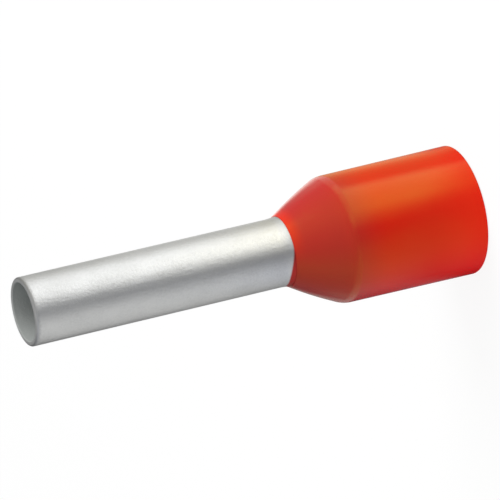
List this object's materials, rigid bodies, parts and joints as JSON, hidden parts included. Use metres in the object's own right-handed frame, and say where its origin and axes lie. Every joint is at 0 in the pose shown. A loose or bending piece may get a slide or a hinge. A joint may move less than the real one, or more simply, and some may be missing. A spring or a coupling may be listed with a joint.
{
  "type": "insulated wire ferrule",
  "caption": "Belled metal tube held in a flared plastic collar, slipped over the stripped end of a stranded wire and crimped so that the strands go into a terminal as one pin.",
  "frame": {"origin": "centre of the collar's mouth, on the flat end face that the ferrule stands on", "axes": "+Z along the ferrule's axis from the mouth to the tube's tip; X and Y are any two square directions, since the ferrule is round"},
  "size_m": [0.0038, 0.0038, 0.0137],
  "materials": {
    "tin_plate": "satin",
    "red_plastic": "satin"
  },
  "bodies": {
    "root": {"sleeve": "tin_plate", "collar": "red_plastic"}
  },
  "joints": []
}
